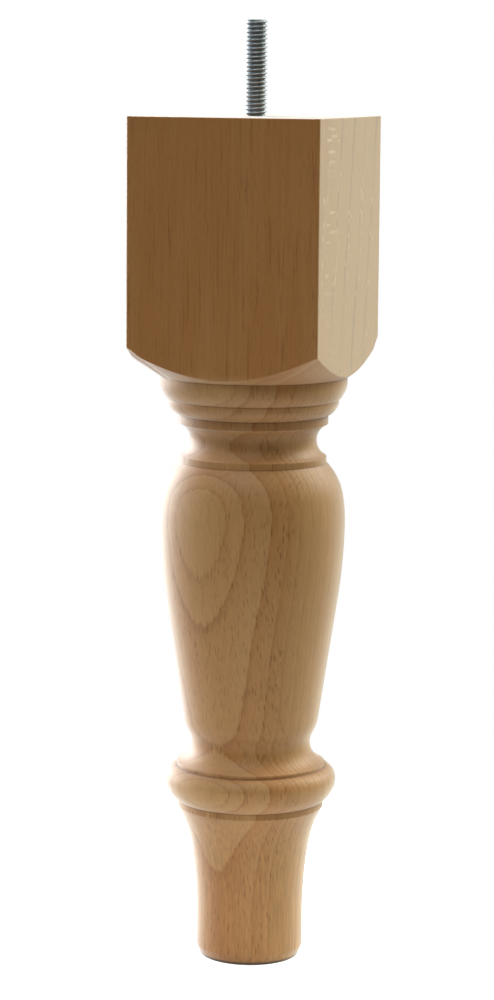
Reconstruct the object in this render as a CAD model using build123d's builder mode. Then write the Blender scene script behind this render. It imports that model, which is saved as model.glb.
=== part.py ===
"""Turned beech furniture leg: a square block, a ringed neck, a vase, a bead and a flared foot, with a hanger bolt.

The leg stands on its foot. The origin is the centre of the foot's underside, +Z runs up the turning axis, and the
block's faces are square to X and Y. Lengths are in millimetres and angles in degrees. The turned form is given as a
stack of heights from the floor up, with the radius that each stretch of the profile reaches.
"""

import os
from math import radians, sqrt, tan

from build123d import *

os.makedirs("parts", exist_ok=True)

# Square block
block_width = 60.0
block_height = 78.1
arris_radius = 0.8
top_edge_chamfer = 0.4
shoulder_angle = 32.9

# Foot
foot_base_radius = 15.05
foot_radius = 16.3
foot_chamfer_height = 3.0
foot_straight_height = 10.0
flare_middle_radius = 18.0
flare_lower_height = 22.0
flare_top_radius = 22.4
flare_upper_height = 12.2
foot_band_height = 1.9

# Bead and neck
bead_radius = 26.1
bead_lower_height = 6.7
bead_upper_height = 4.2
neck_band_radius = 22.7
neck_band_height = 1.0
neck_cove_height = 6.0
neck_radius = 18.15

# Vase
vase_foot_height = 4.8
vase_foot_radius = 20.15
vase_taper_height = 39.2
vase_taper_radius = 26.1
vase_belly_height = 24.0
vase_belly_radius = 28.15
vase_crown_height = 9.2
vase_crown_radius = 27.4
vase_shoulder_height = 9.7
collar_radius = 22.25
collar_height = 2.0

# Scotia and the two rings under the block
scotia_lower_height = 4.8
scotia_radius = 19.2
scotia_upper_height = 5.1
ring_band_radius = 22.7
ring_band_height = 2.6
lower_ring_height = 4.7
lower_ring_radius = 25.95
upper_ring_height = 5.7
upper_ring_radius = 28.4
upper_ring_land = 1.3

# Hanger bolt and its hole
bolt_diameter = 6.35
stud_length = 28.5
stud_chamfer = 0.9
screw_diameter = 5.8
screw_depth = 35.0
screw_point_length = 8.0
screw_clearance = 0.05
countersink_margin = 0.7
countersink_depth = 0.9

# Heights above the floor, from the foot up
chamfer_top = foot_chamfer_height
straight_top = chamfer_top + foot_straight_height
flare_middle = straight_top + flare_lower_height
flare_top = flare_middle + flare_upper_height
foot_band_top = flare_top + foot_band_height
bead_crest = foot_band_top + bead_lower_height
bead_top = bead_crest + bead_upper_height
neck_band_top = bead_top + neck_band_height
neck = neck_band_top + neck_cove_height
vase_foot = neck + vase_foot_height
vase_taper = vase_foot + vase_taper_height
vase_belly = vase_taper + vase_belly_height
vase_crown = vase_belly + vase_crown_height
collar_bottom = vase_crown + vase_shoulder_height
collar_top = collar_bottom + collar_height
scotia = collar_top + scotia_lower_height
ring_band_bottom = scotia + scotia_upper_height
ring_band_top = ring_band_bottom + ring_band_height
lower_ring_crest = ring_band_top + lower_ring_height
upper_ring_crest = lower_ring_crest + upper_ring_height
shoulder_bottom = upper_ring_crest + upper_ring_land
leg_height = shoulder_bottom + block_height

# The shoulder's cone runs on past the block's corners, so that it cuts all four of them clean
corner_overrun = 3.0
shoulder_reach = block_width / sqrt(2) + corner_overrun
shoulder_rise = (shoulder_reach - upper_ring_radius) * tan(radians(shoulder_angle))

up = (0, 1)
down = (0, -1)

# The leg is a square blank cut down to the turned profile
with BuildPart() as wood_leg:
    with BuildSketch() as blank_section:
        RectangleRounded(block_width, block_width, arris_radius)
    extrude(amount=leg_height)
    chamfer(wood_leg.faces().sort_by(Axis.Z)[-1].edges(), length=top_edge_chamfer)

    with BuildSketch(Plane.XZ) as turning:
        with BuildLine() as profile:
            Polyline((0, 0), (foot_base_radius, 0), (foot_radius, chamfer_top), (foot_radius, straight_top))
            flare = TangentArc((foot_radius, straight_top), (flare_middle_radius, flare_middle), tangent=up)
            TangentArc(flare @ 1, (flare_top_radius, flare_top), tangent=flare % 1)
            Line((flare_top_radius, flare_top), (flare_top_radius, foot_band_top))
            TangentArc((bead_radius, bead_crest), (flare_top_radius, foot_band_top), tangent=down)
            TangentArc((bead_radius, bead_crest), (neck_band_radius, bead_top), tangent=up)
            Line((neck_band_radius, bead_top), (neck_band_radius, neck_band_top))
            TangentArc((neck_radius, neck), (neck_band_radius, neck_band_top), tangent=down)
            TangentArc((neck_radius, neck), (vase_foot_radius, vase_foot), tangent=up)
            taper = Line((vase_foot_radius, vase_foot), (vase_taper_radius, vase_taper))
            belly = TangentArc(taper @ 1, (vase_belly_radius, vase_belly), tangent=taper % 1)
            crown = TangentArc(belly @ 1, (vase_crown_radius, vase_crown), tangent=belly % 1)
            TangentArc(crown @ 1, (collar_radius, collar_bottom), tangent=crown % 1)
            Line((collar_radius, collar_bottom), (collar_radius, collar_top))
            TangentArc((scotia_radius, scotia), (collar_radius, collar_top), tangent=down)
            TangentArc((scotia_radius, scotia), (ring_band_radius, ring_band_bottom), tangent=up)
            Line((ring_band_radius, ring_band_bottom), (ring_band_radius, ring_band_top))
            TangentArc((lower_ring_radius, lower_ring_crest), (ring_band_radius, ring_band_top), tangent=down)
            TangentArc(
                (upper_ring_radius, upper_ring_crest), (lower_ring_radius, lower_ring_crest), tangent=down
            )
            Polyline(
                (upper_ring_radius, upper_ring_crest),
                (upper_ring_radius, shoulder_bottom),
                (shoulder_reach, shoulder_bottom + shoulder_rise),
                (shoulder_reach, leg_height),
                (0, leg_height),
                (0, 0),
            )
        make_face()
    revolve(axis=Axis.Z, mode=Mode.INTERSECT)

    # Pilot hole for the hanger bolt, the bolt's own form grown by the clearance, with a countersunk mouth
    screw_radius = screw_diameter / 2
    hole_radius = screw_radius + screw_clearance
    point_top = leg_height - screw_depth + screw_point_length
    hole_point_length = screw_point_length * hole_radius / screw_radius
    countersink_radius = max(bolt_diameter, screw_diameter) / 2 + countersink_margin
    with BuildSketch(Plane.XZ) as pilot_section:
        with BuildLine():
            Polyline(
                (0, leg_height),
                (countersink_radius, leg_height),
                (hole_radius, leg_height - countersink_depth),
                (hole_radius, point_top),
                (0, point_top - hole_point_length),
                close=True,
            )
        make_face()
    revolve(axis=Axis.Z, mode=Mode.SUBTRACT)

# The hanger bolt is a machine-threaded stud above the wood and a pointed wood screw below it
with BuildPart() as hanger_bolt:
    stud_radius = bolt_diameter / 2
    stud_top = leg_height + stud_length
    with BuildSketch(Plane.XZ) as bolt_section:
        with BuildLine():
            Polyline(
                (0, leg_height - screw_depth),
                (screw_radius, point_top),
                (screw_radius, leg_height),
                (stud_radius, leg_height),
                (stud_radius, stud_top - stud_chamfer),
                (stud_radius - stud_chamfer, stud_top),
                (0, stud_top),
                close=True,
            )
        make_face()
    revolve(axis=Axis.Z)

wood_leg.part.label = "wood_leg"
hanger_bolt.part.label = "hanger_bolt"
export_step(wood_leg.part, "parts/wood_leg.step")
export_step(hanger_bolt.part, "parts/hanger_bolt.step")
print(f"leg height {leg_height:.1f} mm, overall height {stud_top:.1f} mm")
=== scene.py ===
# %% [markdown]
# # A turned beech furniture leg
# The leg is one piece of beech with a square block at its top and a turned form below it, and a
# zinc-plated hanger bolt stands out of the block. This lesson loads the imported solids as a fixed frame,
# models both pieces again as clean meshes of the same size, gives them their grain and plating, and
# lights them like a shop photo.

import math

import bmesh
import bpy
from mathutils import Matrix, Vector


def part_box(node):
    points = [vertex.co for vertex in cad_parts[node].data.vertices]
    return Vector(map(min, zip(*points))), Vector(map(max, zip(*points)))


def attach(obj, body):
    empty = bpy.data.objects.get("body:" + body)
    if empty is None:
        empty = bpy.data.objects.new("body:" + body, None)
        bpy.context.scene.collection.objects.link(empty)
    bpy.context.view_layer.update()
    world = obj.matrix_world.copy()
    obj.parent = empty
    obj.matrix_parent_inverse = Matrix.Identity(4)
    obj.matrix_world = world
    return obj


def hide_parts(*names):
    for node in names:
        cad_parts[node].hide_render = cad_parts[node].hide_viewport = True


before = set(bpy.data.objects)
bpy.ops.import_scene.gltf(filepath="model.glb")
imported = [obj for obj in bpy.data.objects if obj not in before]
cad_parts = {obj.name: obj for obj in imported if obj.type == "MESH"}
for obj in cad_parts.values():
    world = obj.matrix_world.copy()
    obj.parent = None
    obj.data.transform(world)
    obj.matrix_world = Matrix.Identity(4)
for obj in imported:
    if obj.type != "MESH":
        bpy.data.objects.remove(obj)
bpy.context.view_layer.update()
_, wood_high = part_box("wood_leg")
bolt_low, bolt_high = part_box("hanger_bolt")
scene = bpy.context.scene
scene.view_settings.view_transform = "Standard"
mm = 0.001
print("wood", [round(v, 4) for v in wood_high], "bolt", [round(v, 4) for v in bolt_high])

# %% [markdown]
# ## The camera
# The photo was taken from a little under a metre away, slightly above the block, with the block turned so
# that its front face is wide and its right face narrow. A camera could be aimed at the object by a
# constraint, but a fixed matrix keeps the small roll of the photo, so its place and its turns are written
# down.

# %% Camera
camera_place = Vector((0.3087, -0.8744, 0.2762))
camera_turn = math.radians(19.444)
camera_tilt = math.radians(90.0 - 8.2368)
camera_swing = math.radians(0.1113)
camera_roll = math.radians(0.4948)
camera_data = bpy.data.cameras.new("camera")
camera_data.lens = 110.63
camera_data.sensor_width = 36.0
camera = bpy.data.objects.new("camera", camera_data)
scene.collection.objects.link(camera)
camera.matrix_world = (
    Matrix.Translation(camera_place)
    @ Matrix.Rotation(camera_turn, 4, "Z")
    @ Matrix.Rotation(camera_tilt, 4, "X")
    @ Matrix.Rotation(camera_swing, 4, "Y")
    @ Matrix.Rotation(camera_roll, 4, "Z")
)
scene.camera = camera
print("camera at", [round(v, 3) for v in camera_place])

# %% [markdown]
# ## The turned outline
# A turner follows an outline of straight fillets and curves: a chamfered foot, a slow flare, a bead, a
# neck, a vase, a scotia and two rings. The same outline is drawn here as a row of points, each a radius
# and a height above the floor in millimetres. Each curve is an arc that leaves one point in a known
# direction and reaches another, which is how the curve runs on without a kink.

# %% Outline helpers
up = Vector((0.0, 1.0))
down = Vector((0.0, -1.0))
widest_step = math.radians(5.0)
longest_step = 2.5


def arc(start, end, heading):
    """The points of an arc that leaves start along heading, without start itself, and its last heading."""
    start = Vector(start)
    chord = Vector(end) - start
    heading = Vector(heading).normalized()
    turn = 2.0 * math.atan2(heading.cross(chord), heading.dot(chord))
    count = max(math.ceil(abs(turn) / widest_step), math.ceil(chord.length / longest_step), 2)
    reach = chord.length / math.sin(turn / 2.0)
    points = []
    for k in range(1, count + 1):
        half = turn / 2.0 * k / count
        points.append(start + Matrix.Rotation(half, 2) @ heading * reach * math.sin(half))
    return points, Matrix.Rotation(turn, 2) @ heading


def arc_into(start, end, heading):
    """The points of an arc from start that arrives at end against heading, without start itself."""
    back, _ = arc(end, start, heading)
    return back[-2::-1] + [Vector(end)]


# %% Foot and flare
foot_base_radius = 15.05
foot_radius = 16.3
chamfer_top = 3.0
straight_top = 13.0
flare_radius = 18.0
flare_middle = 35.0
foot_band_radius = 22.4
foot_band_bottom = 47.2
foot_band_top = 49.1
outline = [
    Vector((0.0, 0.0)),
    Vector((foot_base_radius, 0.0)),
    Vector((foot_radius, chamfer_top)),
    Vector((foot_radius, straight_top)),
]
flare, heading = arc(outline[-1], (flare_radius, flare_middle), up)
outline += flare
flare, _ = arc(outline[-1], (foot_band_radius, foot_band_bottom), heading)
outline += flare + [Vector((foot_band_radius, foot_band_top))]
print("foot up to", foot_band_top, "mm")

# %% Bead and neck
bead_radius = 26.1
bead_crest = 55.8
neck_band_radius = 22.7
bead_top = 60.0
neck_band_top = 61.0
neck_radius = 18.15
neck_height = 67.0
outline += arc_into(outline[-1], (bead_radius, bead_crest), down)
bead, _ = arc(outline[-1], (neck_band_radius, bead_top), up)
outline += bead + [Vector((neck_band_radius, neck_band_top))]
outline += arc_into(outline[-1], (neck_radius, neck_height), down)
print("neck at", neck_height, "mm")

# %% Vase
vase_foot_radius = 19.06
vase_foot = 70.38
taper_low_radius = 20.64
taper_low = 75.0
taper_high_radius = 26.1
taper_high = 111.0
belly_radius = 28.15
belly_height = 135.0
crown_radius = 27.4
crown_height = 144.2
collar_radius = 22.25
collar_bottom = 153.9
collar_top = 155.9
foot_curve, heading = arc(outline[-1], (vase_foot_radius, vase_foot), up)
outline += foot_curve
foot_curve, _ = arc(outline[-1], (taper_low_radius, taper_low), heading)
outline += foot_curve + [Vector((taper_high_radius, taper_high))]
taper = outline[-1] - outline[-2]
belly, heading = arc(outline[-1], (belly_radius, belly_height), taper)
outline += belly
crown, heading = arc(outline[-1], (crown_radius, crown_height), heading)
outline += crown
vase_shoulder, _ = arc(outline[-1], (collar_radius, collar_bottom), heading)
outline += vase_shoulder + [Vector((collar_radius, collar_top))]
print("vase up to", collar_top, "mm")

# %% Scotia and rings
scotia_radius = 19.2
scotia_height = 160.7
ring_band_radius = 22.7
ring_band_bottom = 165.8
ring_band_top = 168.4
lower_ring_radius = 25.95
lower_ring_crest = 173.1
upper_ring_radius = 28.4
upper_ring_crest = 178.8
shoulder_bottom = 180.1
outline += arc_into(outline[-1], (scotia_radius, scotia_height), down)
scotia, _ = arc(outline[-1], (ring_band_radius, ring_band_bottom), up)
outline += scotia + [Vector((ring_band_radius, ring_band_top))]
outline += arc_into(outline[-1], (lower_ring_radius, lower_ring_crest), down)
outline += arc_into(outline[-1], (upper_ring_radius, upper_ring_crest), down)
outline += [Vector((upper_ring_radius, shoulder_bottom))]
print("outline", len(outline), "points up to", round(outline[-1].y, 1), "mm")

# %% Shoulder, block and pilot hole
block_half = wood_high.x / mm
leg_height = wood_high.z / mm
shoulder_slope = math.tan(math.radians(32.9))
corner_overrun = 3.0
blank_reach = block_half * math.sqrt(2.0) + corner_overrun
screw_radius = 2.9
screw_depth = 35.0
screw_point = 8.0
hole_clearance = 0.05
hole_radius = screw_radius + hole_clearance
hole_point = screw_point * hole_radius / screw_radius
hole_point_top = leg_height - screw_depth + screw_point
mouth_radius = 3.875
mouth_depth = 0.9
outline += [
    Vector((blank_reach, shoulder_bottom + (blank_reach - upper_ring_radius) * shoulder_slope)),
    Vector((blank_reach, leg_height)),
    Vector((mouth_radius, leg_height)),
    Vector((hole_radius, leg_height - mouth_depth)),
    Vector((hole_radius, hole_point_top)),
    Vector((0.0, hole_point_top - hole_point)),
]
print("outline closed with", len(outline), "points")

# %% [markdown]
# ## Turning the blank
# The outline could be typed in as a mesh, but it is drawn as by hand: a small plane is merged to one
# vertex, the vertex is extruded from point to point, and the chain is spun once round the axis. The spin
# starts half a step off the X axis, so that the block's corners later fall between two rows of vertices.

# %% Drawing and spinning helpers
def start_fresh():
    """Leave edit mode and deselect everything, since an operator acts on all that is selected."""
    if bpy.context.object and bpy.context.object.mode != "OBJECT":
        bpy.ops.object.mode_set(mode="OBJECT")
    bpy.ops.object.select_all(action="DESELECT")


def draw_chain(name, points, azimuth):
    """Draw (radius, height) points in millimetres as a chain of edges in the plane at an azimuth."""
    start_fresh()
    side = Vector((math.cos(azimuth), math.sin(azimuth), 0.0))
    places = [side * (p[0] * mm) + Vector((0.0, 0.0, p[1] * mm)) for p in points]
    bpy.ops.mesh.primitive_plane_add(size=mm)
    chain = bpy.context.object
    chain.name = name
    chain.data.name = name
    bpy.ops.object.mode_set(mode="EDIT")
    bpy.ops.mesh.select_mode(type="VERT")
    bpy.ops.mesh.select_all(action="SELECT")
    bpy.ops.mesh.merge(type="CENTER")
    bpy.ops.transform.translate(value=places[0])
    for before, after in zip(places, places[1:]):
        bpy.ops.mesh.extrude_region_move(TRANSFORM_OT_translate={"value": after - before})
    return chain


def weld():
    """Merge what coincides in the mesh that is being edited and turn its faces outwards."""
    bpy.ops.mesh.select_all(action="SELECT")
    bpy.ops.mesh.remove_doubles(threshold=0.001 * mm)
    bpy.ops.mesh.normals_make_consistent(inside=False)


def spin(steps):
    """Spin the chain that is being edited once round the leg's axis and close it."""
    bpy.ops.mesh.select_all(action="SELECT")
    bpy.ops.mesh.spin(steps=steps, angle=2.0 * math.pi, center=(0, 0, 0), axis=(0, 0, 1))
    weld()


def cut_flat(place, outward):
    """Cut the mesh that is being edited at a plane, drop the outer side and close the cut."""
    bpy.ops.mesh.select_all(action="SELECT")
    bpy.ops.mesh.bisect(
        plane_co=place, plane_no=outward, use_fill=True, clear_outer=True, threshold=0.0001 * mm
    )


# %% Spin the outline
spin_steps = 240
wood = draw_chain("turned_beech_leg", outline, math.pi / spin_steps)
spin(spin_steps)
bpy.ops.object.mode_set(mode="OBJECT")
print("turned blank:", len(wood.data.vertices), "vertices")

# %% [markdown]
# ## The square block
# On the lathe the leg starts as a square stick, and the turner stops short of the top. Where the round
# shoulder meets the flat faces, each face ends in a curve. The same order in reverse gives the same curve:
# the turned form runs on past the corners here, and four flat cuts make it square. On this leg the sander
# has rounded two of the four low corners more than the others. A proportional move lifts each of them,
# and the faces round it follow less and less.

# %% Saw the four faces
bpy.ops.object.mode_set(mode="EDIT")
for outward in (Vector((1, 0, 0)), Vector((-1, 0, 0)), Vector((0, 1, 0)), Vector((0, -1, 0))):
    cut_flat(outward * block_half * mm, outward)
bpy.ops.object.mode_set(mode="OBJECT")
print("block cut to", round(wood.dimensions.x / mm, 2), "x", round(wood.dimensions.y / mm, 2), "mm")

# %% Sand two corners rounder
corner_lifts = ((Vector((1, 1)), 2.0), (Vector((-1, -1)), 1.0))
sanded_reach = 6.0
block_middle = (shoulder_bottom + leg_height) / 2.0
bpy.ops.object.mode_set(mode="EDIT")
bpy.ops.mesh.select_mode(type="VERT")
for corner, lift in corner_lifts:
    bpy.ops.mesh.select_all(action="DESELECT")
    draft = bmesh.from_edit_mesh(wood.data)
    for vert in draft.verts:
        at_corner = (vert.co.xy - corner * block_half * mm).length < 0.01 * mm
        vert.select_set(at_corner and vert.co.z < block_middle * mm)
    bmesh.update_edit_mesh(wood.data)
    bpy.ops.transform.translate(
        value=(0.0, 0.0, lift * mm),
        use_proportional_edit=True,
        proportional_edit_falloff="SMOOTH",
        proportional_size=sanded_reach * mm,
        use_proportional_connected=True,
    )
bpy.ops.object.mode_set(mode="OBJECT")
print(len(corner_lifts), "corners eased")

# %% [markdown]
# ## Eased edges
# Sandpaper leaves no edge of a wooden part quite sharp. The block's four arrises are rounded most, the top
# edges a little, and the creases between the turned members hardly at all. A Bevel modifier would give
# every edge one width, so each group of edges is picked by its place and beveled by itself.

# %% Edge helpers
sharp_angle = math.radians(20.0)
touching = 0.001
rim = 1.0
curve_floor = shoulder_bottom + 0.4
curve_reach = upper_ring_radius + 0.6


def pick_edges(piece, wanted):
    """Select the sharp outer edges whose two ends pass a test on their place, in millimetres."""
    bpy.ops.mesh.select_mode(type="EDGE")
    bpy.ops.mesh.select_all(action="DESELECT")
    draft = bmesh.from_edit_mesh(piece.data)
    sharp = [e for e in draft.edges if e.calc_face_angle(0.0) > sharp_angle]
    picked = [e for e in sharp if e.is_convex and all(wanted(v.co / mm) for v in e.verts)]
    for edge in picked:
        edge.select_set(True)
    bmesh.update_edit_mesh(piece.data)
    return len(picked)


def ease(width, rounds):
    """Round the selected edges over a width in millimetres."""
    bpy.ops.mesh.bevel(offset=width * mm, segments=rounds, profile=0.5, affect="EDGES")


def on_face(value):
    return abs(abs(value) - block_half) < touching


def on_arris(place):
    return on_face(place.x) and on_face(place.y)


def on_top_edge(place):
    return place.z > leg_height - touching and max(abs(place.x), abs(place.y)) > block_half - rim


def on_face_curve(place):
    return curve_floor < place.z < leg_height - rim and place.xy.length > curve_reach


def on_crease(place):
    return place.z < curve_floor


# %% Ease the edges
arris_width = 0.8
top_edge_width = 0.4
face_curve_width = 0.25
crease_width = 0.15
bpy.ops.object.mode_set(mode="EDIT")
arrises = pick_edges(wood, on_arris)
ease(arris_width, 4)
top_edges = pick_edges(wood, on_top_edge)
ease(top_edge_width, 3)
face_curves = pick_edges(wood, on_face_curve)
ease(face_curve_width, 3)
creases = pick_edges(wood, on_crease)
ease(crease_width, 3)
weld()
bpy.ops.object.mode_set(mode="OBJECT")
bpy.ops.object.shade_smooth_by_angle(angle=math.radians(25.0))
evener = wood.modifiers.new("even_normals", "WEIGHTED_NORMAL")
evener.keep_sharp = True
bpy.ops.object.modifier_apply(modifier=evener.name)
print("eased", arrises, "arrises,", top_edges, "top edges,", face_curves, "edges of the curves and")
print(creases, "of the creases:", len(wood.data.polygons), "faces")

# %% Wood takes the place of its solid
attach(wood, "root")
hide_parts("wood_leg")
print("wood stands", round(wood.dimensions.z / mm, 2), "mm tall")

# %% [markdown]
# ## The hanger bolt
# A hanger bolt has a rolled machine thread at one end and a wood-screw thread at the other. A bump pattern
# would leave a smooth edge, and here the thread's teeth are seen against white, so each thread is real: one
# tooth is drawn, a Screw modifier winds it up the axis, and flat cuts end it. The three lengths are joined
# and trimmed by a plain blank, whose chamfers end the thread at the tip and at the point.

# %% Thread helper
thread_steps = 48
overshoot = 1.0


def wind_thread(name, tooth, pitch, low, high):
    """Wind a tooth, given as (radius, part of the pitch), from one height to another and close it."""
    turns = math.ceil((high - low) / pitch) + 3
    rows = [(radius, low - 1.5 * pitch + part * pitch) for radius, part in tooth]
    thread = draw_chain(name, rows, 0.0)
    bpy.ops.object.mode_set(mode="OBJECT")
    winder = thread.modifiers.new("winder", "SCREW")
    winder.axis = "Z"
    winder.screw_offset = pitch * mm
    winder.iterations = turns
    winder.steps = thread_steps
    winder.render_steps = thread_steps
    bpy.ops.object.modifier_apply(modifier=winder.name)
    bpy.ops.object.mode_set(mode="EDIT")
    weld()
    cut_flat(Vector((0, 0, high * mm)), Vector((0, 0, 1)))
    cut_flat(Vector((0, 0, low * mm)), Vector((0, 0, -1)))
    weld()
    bpy.ops.object.mode_set(mode="OBJECT")
    return thread


# %% Machine thread, quarter inch with twenty turns to the inch
stud_top = bolt_high.z / mm
stud_radius = bolt_high.x / mm
stud_pitch = 1.27
thread_depth = 0.69
stud_root = stud_radius - thread_depth
crest_tooth = [
    (stud_root, 0.0), (stud_root + 0.03, 0.07), (stud_root + 0.12, 0.14), (stud_radius - 0.09, 0.37),
    (stud_radius - 0.015, 0.43), (stud_radius, 0.5), (stud_radius - 0.015, 0.57),
    (stud_radius - 0.09, 0.63), (stud_root + 0.12, 0.86), (stud_root + 0.03, 0.93), (stud_root, 1.0),
]
stud = wind_thread("hanger_bolt_thread", crest_tooth, stud_pitch, leg_height, stud_top + overshoot)
print("stud thread:", len(stud.data.vertices), "vertices")

# %% Wood-screw thread, coarse and sharp
screw_root = 2.05
screw_pitch = 2.5
screw_bottom = bolt_low.z / mm
screw_tooth = [
    (screw_root, 0.0), (screw_root, 0.45), (screw_root + 0.08, 0.55), (screw_radius - 0.05, 0.74),
    (screw_radius, 0.77), (screw_radius - 0.05, 0.8), (screw_root + 0.08, 0.94), (screw_root, 1.0),
]
screw_low = screw_bottom - overshoot
screw_high = leg_height - 3.0
screw = wind_thread("wood_screw_thread", screw_tooth, screw_pitch, screw_low, screw_high)
print("screw thread:", len(screw.data.vertices), "vertices")

# %% Plain middle and trimming blank
shank_radius = 2.3
shank_bottom = leg_height - 5.0
shank_top = leg_height + 4.0
shank_points = [
    (0, shank_bottom), (shank_radius, shank_bottom), (shank_radius, shank_top), (0, shank_top),
]
shank = draw_chain("plain_middle", shank_points, 0.0)
spin(thread_steps)
tip_chamfer = 0.45
blank_radius = stud_radius + 0.1
blank_points = [
    (0, screw_bottom), (screw_radius, screw_bottom + screw_point), (screw_radius, leg_height - 0.5),
    (blank_radius, leg_height - 0.2), (blank_radius, stud_top - tip_chamfer - 0.1),
    (stud_radius - tip_chamfer, stud_top), (0, stud_top),
]
blank = draw_chain("trimming_blank", blank_points, 0.0)
spin(2 * thread_steps)
start_fresh()
print("shank and blank drawn")

# %% Join and trim the bolt
def combine(piece, other, operation):
    """Apply a Boolean of two closed meshes to the first and delete the second."""
    start_fresh()
    bpy.context.view_layer.objects.active = piece
    piece.select_set(True)
    joiner = piece.modifiers.new("joiner", "BOOLEAN")
    joiner.object = other
    joiner.operation = operation
    joiner.solver = "EXACT"
    bpy.ops.object.modifier_apply(modifier=joiner.name)
    bpy.data.objects.remove(other, do_unlink=True)


combine(stud, shank, "UNION")
combine(stud, screw, "UNION")
combine(stud, blank, "INTERSECT")
bpy.ops.object.shade_smooth_by_angle(angle=math.radians(50.0))
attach(stud, "root")
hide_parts("hanger_bolt")
print("bolt:", len(stud.data.polygons), "faces,", round(stud.dimensions.z / mm, 2), "mm long")

# %% [markdown]
# ## Writing shaders as sums
# A material is a tree of small nodes. Placing them one by one hides the idea, so one class wraps a socket:
# sums and products of wrapped sockets add their Math nodes, and one method adds any other node.

# %% Shader helper
class Wire:
    """A socket in a shader tree; arithmetic on it adds Math nodes."""

    def __init__(self, tree, socket=None):
        self.tree = tree
        self.socket = socket

    def node(self, kind, settings=None, sockets=None, output=0):
        """Add a node: its settings first, then the values or wires of its sockets."""
        made = self.tree.nodes.new(kind)
        for name, value in (settings or {}).items():
            if name == "stops":
                self.set_stops(made.color_ramp, value)
            elif name == "steps":
                made.color_ramp.interpolation = "CONSTANT"
            else:
                setattr(made, name, value)
        for key, value in (sockets or {}).items():
            if isinstance(value, Wire):
                self.tree.links.new(value.socket, made.inputs[key])
            else:
                made.inputs[key].default_value = value
        return Wire(self.tree, made.outputs[output] if made.outputs else None)

    def set_stops(self, ramp, stops):
        """Give a colour ramp its stops, each a place and a grey or three numbers."""
        while len(ramp.elements) < len(stops):
            ramp.elements.new(1.0)
        for element, (place, value) in zip(ramp.elements, stops):
            element.position = place
            element.color = (*value, 1.0) if isinstance(value, tuple) else (value, value, value, 1.0)

    def math(self, operation, *values):
        return self.node("ShaderNodeMath", {"operation": operation}, dict(enumerate(values)))

    def __add__(self, other):
        return self.math("ADD", self, other)

    def __radd__(self, other):
        return self.math("ADD", other, self)

    def __sub__(self, other):
        return self.math("SUBTRACT", self, other)

    def __rsub__(self, other):
        return self.math("SUBTRACT", other, self)

    def __mul__(self, other):
        return self.math("MULTIPLY", self, other)

    def __rmul__(self, other):
        return self.math("MULTIPLY", other, self)

    def __truediv__(self, other):
        return self.math("DIVIDE", self, other)

    def __pow__(self, other):
        return self.math("POWER", self, other)

    def __abs__(self):
        return self.math("ABSOLUTE", self)

    def dot(self, direction):
        """How far this vector reaches along a direction."""
        settings = {"operation": "DOT_PRODUCT"}
        return self.node("ShaderNodeVectorMath", settings, {0: self, 1: direction}, output="Value")

    def blend(self, first, second):
        """Mix two colours, each a wire or three numbers, by this value."""
        pair = [c if isinstance(c, Wire) else (*c, 1.0) for c in (first, second)]
        return self.node(
            "ShaderNodeMix",
            {"data_type": "RGBA", "clamp_factor": True},
            {"Factor": self, 6: pair[0], 7: pair[1]},
            output=2,
        )

    def ease(self, low, high):
        """Go smoothly from 0 where the value is low to 1 where it is high."""
        return self.node(
            "ShaderNodeMapRange",
            {"interpolation_type": "SMOOTHSTEP"},
            {"Value": self, "From Min": low, "From Max": high},
        )


def new_material(name):
    """An empty material and a wire into its tree."""
    made = bpy.data.materials.new(name)
    made.use_nodes = True
    made.node_tree.nodes.clear()
    return made, Wire(made.node_tree)


print("shader helper ready")

# %% [markdown]
# ## Beech: the growth rings
# The stick was sawn so that its rings are nearly flat sheets, tilted a little from the front face. Every
# turned curve cuts through those sheets, which draws ovals on the bead and the vase and a tall V on the
# foot. The rings are therefore a pattern in space, not on the surface: a depth across the sheets is worked
# out for each point, and each ring starts pale at its edge, darkens outwards, and ends in a thin dark line.

# %% Depth across the rings
beech, wire = new_material("sanded_beech")
place = wire.node("ShaderNodeTexCoord", output="Object")
place = wire.node("ShaderNodeVectorMath", {"operation": "SCALE"}, {0: place, "Scale": 1.0 / mm})
facing = wire.node("ShaderNodeTexCoord", output="Normal")
ring_turn = math.radians(16.0)
across = Vector((-math.sin(ring_turn), -math.cos(ring_turn), 0.0))
along = Vector((math.cos(ring_turn), -math.sin(ring_turn), 0.0))
depth = place.dot(across)
side = place.dot(along)
height = wire.node("ShaderNodeSeparateXYZ", {}, {0: place}, output="Z")
upright = abs(wire.node("ShaderNodeSeparateXYZ", {}, {0: facing}, output="Z"))
end_cut = upright.ease(0.90, 0.98)
laid_open = abs(facing.dot(along)).ease(0.80, 0.97)
print("rings run across", [round(v, 3) for v in across])

# %% Wandering of the rings
def grain_noise(width, length, detail, seed):
    """Noise stretched along the fibres, about width across and length along them, in millimetres."""
    stretched = wire.node(
        "ShaderNodeMapping",
        {},
        {
            "Vector": place,
            "Location": (seed, 0.7 * seed, 0.3 * seed),
            "Scale": (1.0 / width, 1.0 / width, 1.0 / length),
        },
    )
    return wire.node("ShaderNodeTexNoise", {}, {"Vector": stretched, "Scale": 1.0, "Detail": detail})


in_block = height.ease(shoulder_bottom - 0.6, shoulder_bottom + 3.9)
swell = 1.6 * abs(height - taper_high).ease(45.0, 0.0) - 1.6 * height.ease(74.0, 58.0)
lean = wire.math("MAXIMUM", height - 186.0, 0.0) * depth.ease(24.0, 12.0) * 0.15
wander = 0.8 * (grain_noise(25.0, 60.0, 1.0, 3.0) - 0.5)
wander = wander + in_block * 2.2 * (grain_noise(9.0, 70.0, 1.0, 4.0) - 0.5)
ragged = 0.9 * (grain_noise(0.5, 7.0, 2.0, 7.0) - 0.5)
ring_depth = depth - swell + lean + wander + ragged
print("rings swell, lean and wander")

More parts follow.
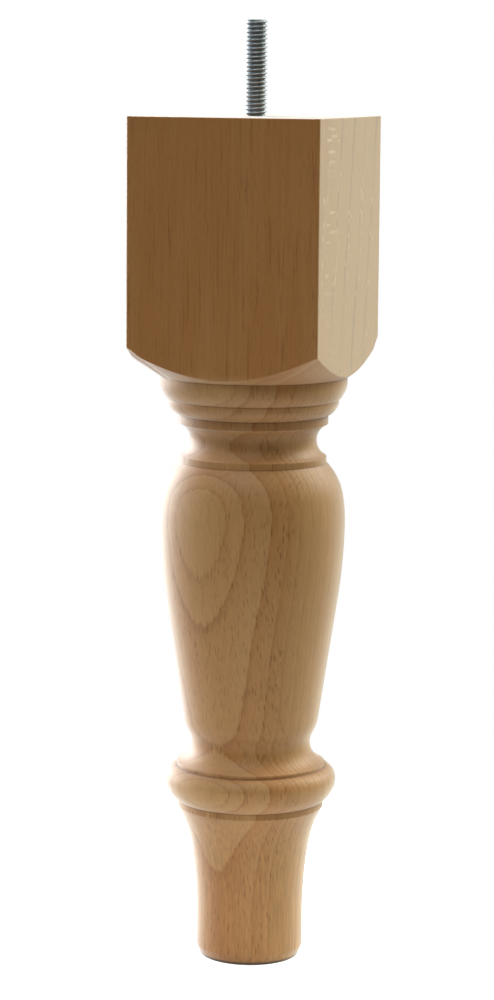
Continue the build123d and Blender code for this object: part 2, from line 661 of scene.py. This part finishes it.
# %% Rings: where each starts, its shade there and at its end from 0 pale to 1 dark, and its end line
rings = (
    (-21.0, 0.48, 0.60, 0.8), (-17.4, 0.48, 0.60, 0.8), (-13.9, 0.48, 0.60, 1.0), (-10.3, 0.48, 0.60, 0.8),
    (-6.7, 0.48, 0.60, 0.8), (-3.2, 0.46, 0.64, 1.0), (0.4, 0.44, 0.58, 0.8), (3.9, 0.44, 0.60, 0.8),
    (7.0, 0.38, 0.55, 0.8), (11.1, 0.44, 0.80, 0.9), (14.6, 0.54, 0.92, 1.0), (18.8, 0.34, 0.62, 0.9),
    (23.9, 0.32, 0.38, 0.9), (26.1, 0.14, 0.14, 0.0),
)
first_ring = rings[0][0]
last_ring_end = 30.0
ring_edge = 0.03


def on_ramp(value):
    """Where a ring depth, a number or a wire, stands on the colour ramps."""
    return (value - first_ring) / (last_ring_end - first_ring)


ages = []
tones = []
for ring, after in zip(rings, rings[1:] + ((last_ring_end,),)):
    ages.append((on_ramp(ring[0]), 0.0))
    ages.append((on_ramp(after[0] - ring_edge), 1.0))
    tones.append((on_ramp(ring[0]), ring[1:]))
where = on_ramp(ring_depth)
age = wire.node("ShaderNodeValToRGB", {"stops": ages}, {0: where})
tone = wire.node("ShaderNodeValToRGB", {"stops": tones, "steps": True}, {0: where})
early = wire.node("ShaderNodeSeparateColor", {}, {0: tone}, output="Red")
late = wire.node("ShaderNodeSeparateColor", {}, {0: tone}, output="Green")
end_line = wire.node("ShaderNodeSeparateColor", {}, {0: tone}, output="Blue") * age ** 12.0
shade = early + (late - early) * age
print(len(rings), "rings")

# %% Rings of the block and fine rings
fine_gap = 1.783
strong_gap = 10.7
strong_start = 106.6
flat_block = in_block * (1.0 - end_cut)
outer_block = flat_block * ring_depth.ease(19.0, 22.0)
inner_block = flat_block - outer_block
shade = shade + outer_block * (0.95 - shade) - inner_block * 0.2
fine_ring = wire.math("FRACT", ring_depth / fine_gap) ** 6.0
fine_ring = fine_ring * wire.math("MAXIMUM", ring_depth.ease(15.0, 12.0), end_cut)
fine_line = (0.05 + 1.6 * upright) * fine_ring * (1.0 - 0.7 * flat_block)
strong_ring = wire.math("FRACT", (ring_depth + strong_start) / strong_gap)
broken = 0.35 + grain_noise(5.0, 26.0, 2.0, 23.0).ease(0.40, 0.60)
block_line = inner_block * (0.4 + 0.6 * laid_open) * broken * strong_ring ** 9.0
end_line = end_line * (1.0 - flat_block) + fine_line
end_line = end_line * (1.0 - outer_block) + block_line
end_line = end_line * (1.0 - 0.5 * laid_open * (1.0 - in_block))
print("fine rings every", fine_gap, "mm, strong ones every", strong_gap, "mm")

# %% [markdown]
# ## Beech: rays and fibres
# Beech is known by its rays, thin upright sheets that run from the heart outwards. Cut across, as on the
# front, a ray is a short dark dash, and laid open, as on the right face, it is a silky fleck, painted pale
# for its sheen. Both are long flat cells in space, and the way the surface faces tells which of the two is
# seen.

# %% Rays
def ray_cells(width, tall, long, shift):
    """Long flat cells in space: the distance from each cell's heart, and a random number for each."""
    spot = wire.node(
        "ShaderNodeCombineXYZ", {}, {0: side / width + shift, 1: height / tall, 2: depth / long}
    )
    heart = wire.node("ShaderNodeTexVoronoi", {}, {"Vector": spot, "Scale": 1.0})
    number = wire.node("ShaderNodeTexVoronoi", {}, {"Vector": spot, "Scale": 1.0}, output="Color")
    return heart, wire.node("ShaderNodeSeparateColor", {}, {0: number}, output="Red")


heart, number = ray_cells(0.56, 3.6, 13.0, 0.0)
ray_dash = heart.ease(0.48, 0.17) * number.ease(0.20, 0.90) * (1.0 - laid_open)
ray_dash = ray_dash * wire.math("MINIMUM", 1.5 * shade, 1.0) * (1.0 - 0.8 * outer_block)
ray_dash = ray_dash * (1.0 - 0.7 * upright.ease(0.2, 0.7) * (1.0 - end_cut))
bar_levels = (250.5, 227.0, 211.5)
group = 0.15
for level in bar_levels:
    group = abs(height - level).ease(6.5, 3.0) + group
heart, number = ray_cells(4.5, 1.4, 11.0, 4.0)
bars = heart.ease(0.46, 0.25) * number.ease(0.2, 0.6) * group
bars = bars * depth.ease(2.0, 5.0) * depth.ease(15.0, 12.0)
heart, number = ray_cells(3.0, 3.4, 2.0, 9.0)
dots = 0.8 * heart.ease(0.40, 0.2) * number.ease(0.3, 0.7) * strong_ring.ease(0.35, 0.9)
ray_fleck = laid_open * in_block * wire.math("MAXIMUM", bars, dots)
print("rays: dashes, and flecks in", len(bar_levels), "groups")

# %% Fibres, pores, and painted shade in the creases and under the bead and the rings
fibre = grain_noise(0.75, 14.0, 3.0, 11.0)
pore = grain_noise(0.34, 3.0, 1.0, 5.0).ease(0.54, 0.70)
cloud = grain_noise(11.0, 60.0, 2.0, 2.0)
band = grain_noise(2.2, 90.0, 3.0, 41.0)
streak = outer_block * grain_noise(0.6, 20.0, 2.0, 31.0).ease(0.58, 0.72)
# The creases between the turned members are darkened at these heights: painted shade where the members
# meet.
crease_levels = (
    foot_band_top, bead_top, collar_bottom, ring_band_top, lower_ring_crest, shoulder_bottom
)
painted_crease_shade = 0.0
for level in crease_levels:
    painted_crease_shade = abs(height - level).ease(0.4, 0.05) + painted_crease_shade
# The band under the bead, on its right side, and the band under the two rings are darkened: painted shade
# under their overhang.
foot_band_shade = height.ease(foot_band_bottom - 0.1, foot_band_bottom + 0.1)
foot_band_shade = foot_band_shade * height.ease(foot_band_top + 0.2, foot_band_top) * ring_depth.ease(20.0, 16.0)
ring_band_shade = height.ease(ring_band_bottom - 0.1, ring_band_bottom + 0.1)
ring_band_shade = ring_band_shade * height.ease(ring_band_top + 0.2, ring_band_top)
# Dark marks: the wood's own ring lines, ray dashes, pores, streaks and end grain, and the painted shade in
# the creases and the two bands.
dark = 0.48 * end_line + 0.62 * ray_dash + 0.18 * pore + 0.40 * streak + 0.15 * end_cut
dark = dark + 0.45 * painted_crease_shade + 0.2 * (foot_band_shade + ring_band_shade)
print("fibres and", len(crease_levels), "creases")

# %% Beech colour
pale_wood = (0.477, 0.263, 0.107)
deep_wood = (0.382, 0.160, 0.045)
turned_side = (0.440, 0.265, 0.088)
block_side = (0.400, 0.235, 0.075)
line_brown = (0.195, 0.064, 0.012)
ray_fleck_sheen_colour = (0.80, 0.66, 0.42)
shade = shade + 0.5 * (cloud - 0.5) + 0.6 * outer_block * (band - 0.5)
colour = shade.blend(pale_wood, deep_wood)
colour = (0.2 * laid_open * (1.0 - in_block)).blend(colour, turned_side)
colour = (0.5 * laid_open * in_block).blend(colour, block_side)
colour = dark.blend(colour, line_brown)
# The ray flecks are real, and their pale colour is painted sheen.
colour = (0.32 * ray_fleck).blend(colour, ray_fleck_sheen_colour)
grain = 1.0 - (0.36 - 0.26 * in_block + 0.4 * height.ease(47.0, 36.0)) * (0.5 - fibre)
# The lowest millimetre of the foot is darkened: painted shade where the foot meets the floor.
painted_contact_shade = height.ease(1.3, 0.4)
grain = grain * (1.0 - 0.85 * painted_contact_shade)
colour = wire.node("ShaderNodeVectorMath", {"operation": "SCALE"}, {0: colour, "Scale": grain})
print("beech colour from", pale_wood, "to", deep_wood)

# %% Beech finish
rough = 0.5 + 0.1 * (fibre - 0.5) - 0.06 * ray_fleck
relief = wire.node(
    "ShaderNodeBump",
    {},
    {"Strength": 0.25, "Distance": 0.00008, "Height": fibre - 0.6 * pore - 0.3 * ray_dash},
)
surface = wire.node(
    "ShaderNodeBsdfPrincipled",
    {},
    {
        "Base Color": colour,
        "Roughness": rough,
        "Specular IOR Level": 0.35,
        "Sheen Weight": 0.8,
        "Sheen Roughness": 0.38,
        "Normal": relief,
    },
)
wire.node("ShaderNodeOutputMaterial", {}, {"Surface": surface})
wood.data.materials.clear()
wood.data.materials.append(beech)
print("beech on", wood.name)

# %% [markdown]
# ## Zinc plating
# Zinc plating is a cool grey metal, a little dull, with a faint cloudiness from the bath. A metal has
# little colour of its own but what it mirrors, so the plating needs little more than its tint and a
# roughness that changes slowly. The roots of the thread are painted darker than the crests, as painted
# shade in the roots.

# %% Zinc finish
zinc, wire = new_material("bright_zinc")
place = wire.node("ShaderNodeTexCoord", output="Object")
cloud = wire.node("ShaderNodeTexNoise", {}, {"Vector": place, "Scale": 420.0, "Detail": 3.0})
level_place = wire.node("ShaderNodeVectorMath", {"operation": "MULTIPLY"}, {0: place, 1: (1.0, 1.0, 0.0)})
radius = wire.node("ShaderNodeVectorMath", {"operation": "LENGTH"}, {0: level_place}, output="Value")
root_radius = 2.62 * mm
crest_radius = 3.1 * mm
shaded_root_grey = (0.185, 0.215, 0.24)
crest_grey = (0.42, 0.47, 0.51)
# Darker towards the thread's roots: painted shade in the roots, with the plating's cloudiness on top.
root_shade_and_cloud = 0.35 + 0.5 * radius.ease(root_radius, crest_radius) + 0.3 * (cloud - 0.5)
surface = wire.node(
    "ShaderNodeBsdfPrincipled",
    {},
    {
        "Base Color": root_shade_and_cloud.blend(shaded_root_grey, crest_grey),
        "Metallic": 0.8,
        "Roughness": 0.55 + 0.2 * (cloud - 0.5),
        "Specular Tint": (0.45, 0.47, 0.49, 1.0),
    },
)
wire.node("ShaderNodeOutputMaterial", {}, {"Surface": surface})
stud.data.materials.clear()
stud.data.materials.append(zinc)
print("zinc on", stud.name)

# %% [markdown]
# ## Floor and light
# The photo was taken in a white tent: bright panels behind the leg at the left and the right, softer ones
# overhead and low down, and little light from the camera's side. So the front is deep in colour, the edges
# are pale and the floor lights the foot from below. Lamps could stand for the panels, but a world that is
# bright in soft patches gives the same light without hard edges, and the camera sees plain white behind
# the leg. The floor is a small white disc. It takes the shadow as any surface does, and to the camera its
# lit part is plain white.

# %% Floor
start_fresh()
bpy.ops.mesh.primitive_circle_add(vertices=128, radius=0.22, fill_type="NGON")
floor = bpy.context.object
floor.name = "floor"
paper, wire = new_material("white_paper")
lit = wire.node("ShaderNodeBsdfDiffuse", {}, {"Color": (0.92, 0.92, 0.92, 1.0)})
glow = wire.node("ShaderNodeEmission", {}, {"Color": (1.0, 1.0, 1.0, 1.0), "Strength": 0.6})
camera_ray = wire.node("ShaderNodeLightPath", output="Is Camera Ray")
glossy_ray = wire.node("ShaderNodeLightPath", output="Is Glossy Ray")
clear_ray = wire.node("ShaderNodeLightPath", output="Is Transmission Ray")
seen = wire.math("MAXIMUM", wire.math("MAXIMUM", camera_ray, glossy_ray), clear_ray)
both = wire.node("ShaderNodeAddShader", {}, {0: lit, 1: glow})
shown = wire.node("ShaderNodeMixShader", {}, {0: seen, 1: lit, 2: both})
wire.node("ShaderNodeOutputMaterial", {}, {"Surface": shown})
floor.data.materials.append(paper)
print("floor", round(floor.dimensions.x, 2), "m across")

# %% Directions in the tent
world = bpy.data.worlds.new("light_tent")
scene.world = world
world.use_nodes = True
world.node_tree.nodes.clear()
wire = Wire(world.node_tree)
towards = wire.node("ShaderNodeTexCoord", output="Generated")
away = Vector((-math.sin(camera_turn), math.cos(camera_turn), 0.0))
leftwards = Vector((-math.cos(camera_turn), -math.sin(camera_turn), 0.0))
behind = towards.dot(away)
left = towards.dot(leftwards)
degree = math.pi / 180.0
turn = wire.math("ARCTAN2", left, behind) / degree
upwards = wire.node("ShaderNodeSeparateXYZ", {}, {0: towards}, output="Z")
rise = wire.math("ARCSINE", upwards) / degree
print("straight behind the leg is", [round(v, 3) for v in away])

# %% Panels of light
def panel(turn_to, rise_to, wide, tall, level):
    """A soft panel of light, turned leftwards from straight behind the object and raised, in degrees."""
    off = abs(wire.math("WRAP", turn - turn_to, 180.0, -180.0))
    return off.ease(wide, 0.0) * abs(rise - rise_to).ease(tall, 0.0) * level


left_back = panel(39.0, 10.0, 40.0, 32.0, 13.5)
left_side = panel(75.0, 10.0, 40.0, 32.0, 2.8)
right_back = panel(-40.0, 5.0, 35.0, 32.0, 1.5)
right_high = panel(-62.0, 37.0, 32.0, 32.0, 14.3)
camera_side = panel(180.0, 37.0, 30.0, 32.0, 1.6)
overhead = panel(152.0, 66.0, 55.0, 30.0, 7.3)
back_wall = panel(0.0, 8.0, 25.0, 16.0, 2.5)
haze = 0.01
panels = left_back + left_side + right_back + right_high + camera_side + overhead + back_wall + haze
low_panels = ((0.0, 2.7), (180.0, 1.6), (-90.0, 2.3))
for turn_to, level in low_panels:
    panels = panels + panel(turn_to, -45.0, 30.0, 50.0, level)
print("seven panels, and", len(low_panels), "low ones")

# %% What the camera sees and what lights the leg
right_tint = (0.97, 1.01, 0.83)
left_tint = (0.95, 1.0, 1.02)
plain_white = (1.0, 1.0, 1.0)
camera_ray = wire.node("ShaderNodeLightPath", output="Is Camera Ray")
glossy_ray = wire.node("ShaderNodeLightPath", output="Is Glossy Ray")
clear_ray = wire.node("ShaderNodeLightPath", output="Is Transmission Ray")
seen = wire.math("MAXIMUM", camera_ray, clear_ray)
white = wire.math("MAXIMUM", seen, glossy_ray * behind.ease(0.2, 0.6))
strength = wire.math("MAXIMUM", panels * (1.0 - seen), white)
tint = white.blend(left.ease(-0.3, 0.4).blend(right_tint, left_tint), plain_white)
tent = wire.node("ShaderNodeBackground", {}, {"Color": tint, "Strength": strength})
wire.node("ShaderNodeOutputWorld", {}, {"Surface": tent})
print("world", world.name)
